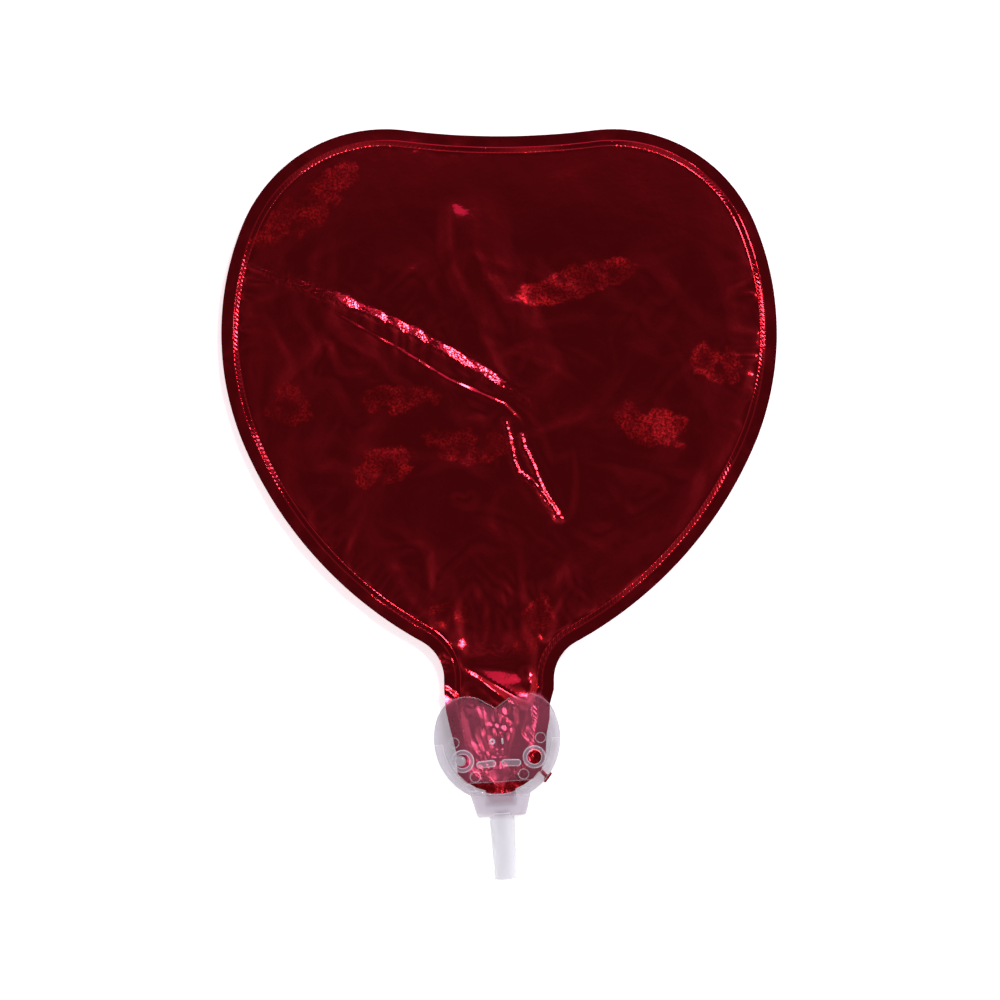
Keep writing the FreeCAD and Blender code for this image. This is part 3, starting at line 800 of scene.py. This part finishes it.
def valve_sheet(name, node_name, z, seed):
    """One strip of valve film, round at the top end."""
    rows, columns = 100, 24
    across = columns + 1
    places = []
    for i in range(rows + 1):
        y = VALVE_FOOT + (VALVE_HEAD - VALVE_FOOT) * i / rows
        into_round = max(0.0, y - (VALVE_HEAD - VALVE_HALF))
        half_width = math.sqrt(max(VALVE_HALF ** 2 - into_round ** 2, 0.25))
        for j in range(across):
            x = (2 * j / columns - 1) * half_width
            wave = 0.015 * noise.noise((x / 7, y / 7, seed))
            places.append((x * MM, y * MM, (z + wave) * MM))
    faces = [(a, a + 1, a + across + 1, a + across)
             for a in range(rows * across) if a % across < columns]
    sheet = new_sheet(name, places, faces)
    thicken(sheet, VALVE_THICKNESS)
    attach(sheet, "clip")
    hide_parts(node_name)
    return sheet


valve_front = valve_sheet("valve_front_sheet", "valve_front_film", VALVE_FRONT_Z, 51.5)
valve_back = valve_sheet("valve_back_sheet", "valve_back_film", VALVE_BACK_Z, 52.5)

# %% [markdown]
# ## Metallised film
# This is polyester film with aluminium evaporated onto it and a red lacquer over that. A
# metal whose colour is the lacquer's gives the right behaviour: what it mirrors turns
# red, and a strong light turns pink. The weld's two lines, and the slanting strokes
# between them, are drawn by distance from the edge.

# %% The weld's relief
MATH, NOISE, BUMP, RANGE = ("ShaderNode" + kind for kind in ("Math", "TexNoise", "Bump", "MapRange"))
TIMES = {"operation": "MULTIPLY"}
TIMES_PLUS = {"operation": "MULTIPLY_ADD"}
MINUS = {"operation": "SUBTRACT"}
SIZE_OF = {"operation": "ABSOLUTE"}
MORE, LESS = {"operation": "GREATER_THAN"}, {"operation": "LESS_THAN"}
LINE_HALF = 0.28              # half the width of a weld line
STROKE_PITCH = 1.9            # from one slanting stroke to the next
STROKE_GAP = 0.1              # from a stroke's end to the line's middle


def per(millimetres):
    """The scale that makes one noise cell this many millimetres."""
    return 1 / (millimetres * MM)


film, tree, shader = material("red_metallised_film")
place = node(tree, "ShaderNodeTexCoord").outputs["Object"]
edge_uv = node(tree, "ShaderNodeUVMap", settings={"uv_map": "from_edge"})
split = node(tree, "ShaderNodeSeparateXYZ", {"Vector": edge_uv})
around = node(tree, MATH, {0: split.outputs["X"], 1: 1 / MM}, TIMES)
depth = node(tree, MATH, {0: split.outputs["Y"], 1: 1 / MM}, TIMES)
lines = []
for line_depth in (FLANGE, FLANGE + WELD):
    off_line = node(tree, MATH, {0: depth, 1: line_depth}, MINUS)
    off_line = node(tree, MATH, {0: off_line}, SIZE_OF)
    share = node(tree, MATH, {0: off_line, 1: LINE_HALF}, {"operation": "DIVIDE"})
    lines.append(node(tree, MATH, {0: 1.0, 1: share}, {**MINUS, "use_clamp": True}))
relief = node(tree, MATH, {0: lines[0], 1: lines[1]}, {"operation": "MAXIMUM"})
relief = node(tree, MATH, {0: relief, 1: 0.5}, TIMES)
slant = node(tree, MATH, {0: depth, 1: -1.0, 2: around}, TIMES_PLUS)
slant = node(tree, MATH, {0: slant, 1: 2 * math.pi / STROKE_PITCH}, TIMES)
stroke = node(tree, MATH, {0: slant}, {"operation": "SINE"})
from_middle = node(tree, MATH, {0: depth, 1: FLANGE + WELD / 2}, MINUS)
from_middle = node(tree, MATH, {0: from_middle}, SIZE_OF)
between = node(tree, MATH, {0: from_middle, 1: WELD / 2 - STROKE_GAP}, LESS)
# The tool pressed unevenly, so the strokes come and go.
uneven = node(tree, NOISE, {"Vector": place, "Scale": per(50), "Detail": 1.0})
uneven = node(tree, RANGE, {"Value": uneven, "From Min": 0.42, "From Max": 0.6})
stroke = node(tree, MATH, {0: stroke, 1: between}, TIMES)
stroke = node(tree, MATH, {0: stroke, 1: uneven}, TIMES)
relief = node(tree, MATH, {0: stroke, 1: 0.9, 2: relief}, TIMES_PLUS)
print("weld", len(tree.nodes), "nodes")

# %% [markdown]
# The film is smooth, so its roughness is low. Slack film has shallow dents of about 8 mm.
# The fine crinkles are bump too, at the real size of such crinkles, a millimetre or two.
# Light bounces about in them, which makes them duller and a deeper red. Film that is
# pressed flat in the clip is duller, and it is painted a paler red: a painted glow for
# the light that the milky plastic scatters onto it.

# %% Crinkles and gloss of the film
SMOOTH, PRESSED_DULLER = 0.09, 0.16      # roughness of clean film, and what pressing adds
# The third colour, the paler red of pressed film, is a painted glow.
RED, DEEPER_RED, PAINTED_GLOW_RED, GRAZING_RED = map(linear, ("CB2430", "BE1A1E", "F2587A", "D8404E"))
COLOURS = {"data_type": "RGBA"}          # such a mix has its colours at 6 and 7, and comes out at 2

carried = {}
for label in ("crinkle", "haze", "slack", "pressed_and_painted_glow"):
    carried[label] = node(tree, "ShaderNodeAttribute", settings={"attribute_name": label}).outputs["Fac"]
bump = node(tree, BUMP, {"Height": relief, "Strength": 1.0, "Distance": 0.10 * MM})
for size, detail, label, dent in ((8, 2.0, "slack", 0.14), (1.6, 1.0, "crinkle", 0.30)):
    dents = node(tree, NOISE, {"Vector": place, "Scale": per(size), "Detail": detail, "Roughness": 0.5})
    dents = node(tree, MATH, {0: dents, 1: carried[label]}, TIMES)
    bump = node(tree, BUMP, {"Height": dents, "Normal": bump, "Strength": 1.0, "Distance": dent * MM})
grain = node(tree, NOISE, {"Vector": place, "Scale": per(1.1), "Detail": 2.0, "Roughness": 0.7})
grain = node(tree, RANGE,
             {"Value": grain, "From Min": 0.36, "From Max": 0.64, "To Min": 0.12, "To Max": 0.34})
dull = node(tree, MATH, {0: carried["haze"], 1: grain, 2: SMOOTH}, TIMES_PLUS)
dull = node(tree, MATH, {0: carried["pressed_and_painted_glow"], 1: PRESSED_DULLER, 2: dull}, TIMES_PLUS)
red = node(tree, "ShaderNodeMix", {"Factor": carried["haze"], 6: RED, 7: DEEPER_RED}, COLOURS)
# Pressed film is mixed towards the paler red: a painted glow.
red = node(tree, "ShaderNodeMix",
           {"Factor": carried["pressed_and_painted_glow"], 6: red.outputs[2], 7: PAINTED_GLOW_RED}, COLOURS)
give(tree, shader, {
    "Base Color": red.outputs[2], "Metallic": 1.0, "Specular Tint": GRAZING_RED,
    "Roughness": dull, "Normal": bump,
})
for sheet in (front_foil, back_foil):
    sheet.data.materials.clear()
    sheet.data.materials.append(film)
print("film", len(tree.nodes), "nodes")

# %% [markdown]
# ## Clear plastic
# The clip is moulded from natural polypropylene. That is clear but milky, and its
# surface is satin, so what is behind it shows soft and a little grey. The thicker it is,
# the milkier it looks. The thick places are found by their coordinates: the hub and the
# stem, the bosses and bars of the cover, the raised rim of the back half, and the pin
# that shows through its hole. A moulded edge is rounded by a few tenths of a millimetre.
# The pale line where such an edge catches the light is a painted highlight.

# %% Where the plastic is thick
HUB_TOP = float(from_clip([(0, -20)])[0][1]) * MM
HUB_FADE = 4 * MM                # the plate turns into the hub over this
STEM_FADE = (11 * MM, 13.5 * MM)  # the hub turns into the stem between these
BAR_TOP_Z = 8.3 * MM             # the bosses and the bars stand above this
RIM_R = 22.7 * MM                # the rim's inner radius
RIM_TOP_Y = -1.3                 # the rim ends here, where the cover's ears begin
EDGE_RADIUS = 0.4 * MM
DOT, DISTANCE = {"operation": "DOT_PRODUCT"}, {"operation": "DISTANCE"}

clear, tree, shader = material("natural_polypropylene")
place = node(tree, "ShaderNodeTexCoord").outputs["Object"]
split = node(tree, "ShaderNodeSeparateXYZ", {"Vector": place})
hub_y, height = split.outputs["Y"], split.outputs["Z"]
flat_place = node(tree, "ShaderNodeVectorMath", {0: place, 1: (1, 1, 0)}, TIMES)
thick = node(tree, RANGE, {"Value": hub_y, "From Min": HUB_TOP, "From Max": HUB_TOP - HUB_FADE})
on_disc = node(tree, MATH, {0: hub_y, 1: HUB_TOP + HUB_FADE}, MORE)
raised = node(tree, MATH, {0: height, 1: BAR_TOP_Z}, MORE)
raised = node(tree, MATH, {0: raised, 1: on_disc}, TIMES)
from_pin, from_middle = (
    node(tree, "ShaderNodeVectorMath", {0: flat_place, 1: (*from_clip([spot])[0] * MM, 0)}, DISTANCE)
    for spot in (LEFT_PIN, (0, 0))
)
at_pin = node(tree, MATH, {0: from_pin.outputs["Value"], 1: (PIN_R + 0.1) * MM}, LESS)
up_clip = node(tree, "ShaderNodeVectorMath", {0: place, 1: (*-clip_down, 0)}, DOT)
rim_top = float(from_clip([(0, RIM_TOP_Y)])[0] @ -clip_down) * MM
below_ears = node(tree, MATH, {0: up_clip.outputs["Value"], 1: rim_top}, LESS)
above_hub = node(tree, MATH, {0: 1.0, 1: thick}, MINUS)
at_rim = node(tree, MATH, {0: from_middle.outputs["Value"], 1: RIM_R}, MORE)
at_rim = node(tree, MATH, {0: at_rim, 1: below_ears}, TIMES)
at_rim = node(tree, MATH, {0: at_rim, 1: above_hub}, TIMES)
# Rounded edges are found where the bevel node's normal leaves the face's own. There the plastic gets a
# painted highlight, a pale line.
rounded = node(tree, "ShaderNodeBevel", {"Radius": EDGE_RADIUS}, {"samples": 4})
straight_on = node(tree, "ShaderNodeNewGeometry").outputs["Normal"]
agree = node(tree, "ShaderNodeVectorMath", {0: rounded, 1: straight_on}, DOT)
painted_edge_highlight = node(tree, RANGE, {"Value": agree.outputs["Value"], "From Min": 0.999, "From Max": 0.88})
print("thick places", len(tree.nodes), "nodes")

# %% Colour, milkiness and gloss of the plastic
CLAMPED = {**TIMES_PLUS, "use_clamp": True}
milky, passing, tint = 0.34, 0.92, linear("A8A2AC")      # those of a thin plate
# Along the rounded edges the plastic is milkier, lets less through and is tinted near white: a painted
# highlight.
for where, milkier in ((thick, 0.40), (raised, 0.30), (at_rim, 0.22), (at_pin, 0.40), (painted_edge_highlight, 0.50)):
    milky = node(tree, MATH, {0: where, 1: milkier, 2: milky}, CLAMPED)
for where, dimmer in ((thick, -0.4), (raised, -0.5), (painted_edge_highlight, -0.8)):
    passing = node(tree, MATH, {0: where, 1: dimmer, 2: passing}, CLAMPED)
at_stem = node(tree, RANGE, {
    "Value": hub_y, "From Min": HUB_TOP - STEM_FADE[0], "From Max": HUB_TOP - STEM_FADE[1],
})
# The near-white F6F3F8 at the edges is the painted highlight's colour.
for where, colour in ((thick, "D2CAD2"), (at_stem, "F0F0F2"), (painted_edge_highlight, "F6F3F8")):
    mix = node(tree, "ShaderNodeMix", {"Factor": where, 6: tint, 7: linear(colour)}, COLOURS)
    tint = mix.outputs[2]
flow = node(tree, NOISE, {"Vector": place, "Scale": per(3), "Detail": 3.0})
satin = node(tree, RANGE, {"Value": flow, "To Min": 0.05, "To Max": 0.16})
bump = node(tree, BUMP, {"Height": flow, "Strength": 0.5, "Distance": 0.10 * MM})
give(tree, shader, {
    "Base Color": tint, "Alpha": milky, "Transmission Weight": passing, "IOR": 1.49,
    "Roughness": satin, "Normal": bump,
})
for name in ("clip_back_half", "clip_front_half"):
    slots = frame["nodes"][name].material_slots
    for slot in slots:
        slot.material = clear
    print(name, len(slots), "slots")

# %% [markdown]
# The valve is plain polyethylene film, blown and not stretched, so it is a little hazy
# and its gloss is soft.

# %% Valve film
valve_film, tree, shader = material("polyethylene_valve_film")
place = node(tree, "ShaderNodeTexCoord").outputs["Object"]
haze = node(tree, NOISE, {"Vector": place, "Scale": per(2), "Detail": 2.0})
bump = node(tree, BUMP, {"Height": haze, "Strength": 0.5, "Distance": 0.2 * MM})
give(tree, shader, {
    "Base Color": linear("E8E6E2"), "Transmission Weight": 0.7, "Roughness": 0.35,
    "IOR": 1.51, "Normal": bump,
})
for sheet in (valve_front, valve_back):
    sheet.data.materials.clear()
    sheet.data.materials.append(valve_film)
print("valve film", len(tree.nodes), "nodes")

# %% [markdown]
# ## Floor and light
# A mirror shows what is around it, so here the light is the picture. Straight above it is
# dim, which is why flat film looks nearly black. It grows brighter towards the horizon,
# which lights the crinkles. Three soft boxes stand where only the steep sides of the
# creases can see them, and a dim violet panel lights the big fold in the neck.

# %% Floor
FLOOR_WIDTH = 6.0

bpy.ops.object.select_all(action="DESELECT")
bpy.ops.mesh.primitive_plane_add(size=FLOOR_WIDTH)
floor = bpy.context.object
floor.name = "floor"
paper, tree, shader = material("white_paper")
give(tree, shader, {
    "Base Color": linear("FCFCFC"), "Roughness": 0.9,
    "Emission Color": linear("FFFFFF"), "Emission Strength": 0.4,
})
floor.data.materials.append(paper)
print("floor", FLOOR_WIDTH, "m wide")

# %% Soft boxes
COOL_WHITE = (1.0, 0.94, 1.06)
VIOLET = (1.0, 0.55, 1.55)


def soft_box(name, azimuth, from_vertical, distance, width, radiance, tint=COOL_WHITE):
    """A square light that faces the object; angles in degrees, sizes in metres."""
    data = bpy.data.lights.new(name, "AREA")
    data.shape = "SQUARE"
    data.size = width
    data.energy = radiance * math.pi * width * width
    data.color = tint
    turn, tilt = math.radians(azimuth), math.radians(from_vertical)
    toward = Vector((math.sin(tilt) * math.cos(turn), math.sin(tilt) * math.sin(turn), math.cos(tilt)))
    lamp = bpy.data.objects.new(name, data)
    lamp.location = toward * distance
    lamp.rotation_euler = toward.to_track_quat("Z", "Y").to_euler()
    bpy.context.scene.collection.objects.link(lamp)


soft_box("upper_right_box", 60, 38, 2.2, 0.34, 52.0)
soft_box("right_box", 27, 38, 2.2, 0.36, 34.0)
soft_box("lower_left_box", 232, 40, 2.2, 0.30, 40.0)
soft_box("top_panel", 83, 30, 2.4, 0.60, 0.66, VIOLET)
print("lights", [item.name for item in bpy.data.lights])

# %% Room
world = bpy.data.worlds.new("studio")
bpy.context.scene.world = world
world.use_nodes = True
tree = world.node_tree
direction = node(tree, "ShaderNodeTexCoord").outputs["Generated"]
height = node(tree, "ShaderNodeSeparateXYZ", {"Vector": direction}).outputs["Z"]
ramp = node(tree, "ShaderNodeValToRGB", {"Fac": height})
ramp.color_ramp.interpolation = "B_SPLINE"
# Each stop is a direction's height, 0 at the horizon and 1 straight up, and its brightness.
stops = [(0.0, 0.42), (0.22, 0.5), (0.42, 0.85), (0.6, 0.6),
         (0.8, 0.32), (0.93, 0.15), (0.985, 0.105), (1.0, 0.08)]
while len(ramp.color_ramp.elements) < len(stops):
    ramp.color_ramp.elements.new(0.5)
for element, (position, value) in zip(ramp.color_ramp.elements, stops):
    element.position = position
    element.color = (value, value, value, 1)
give(tree, tree.nodes["Background"], {"Color": ramp})
print("room", len(stops), "stops")
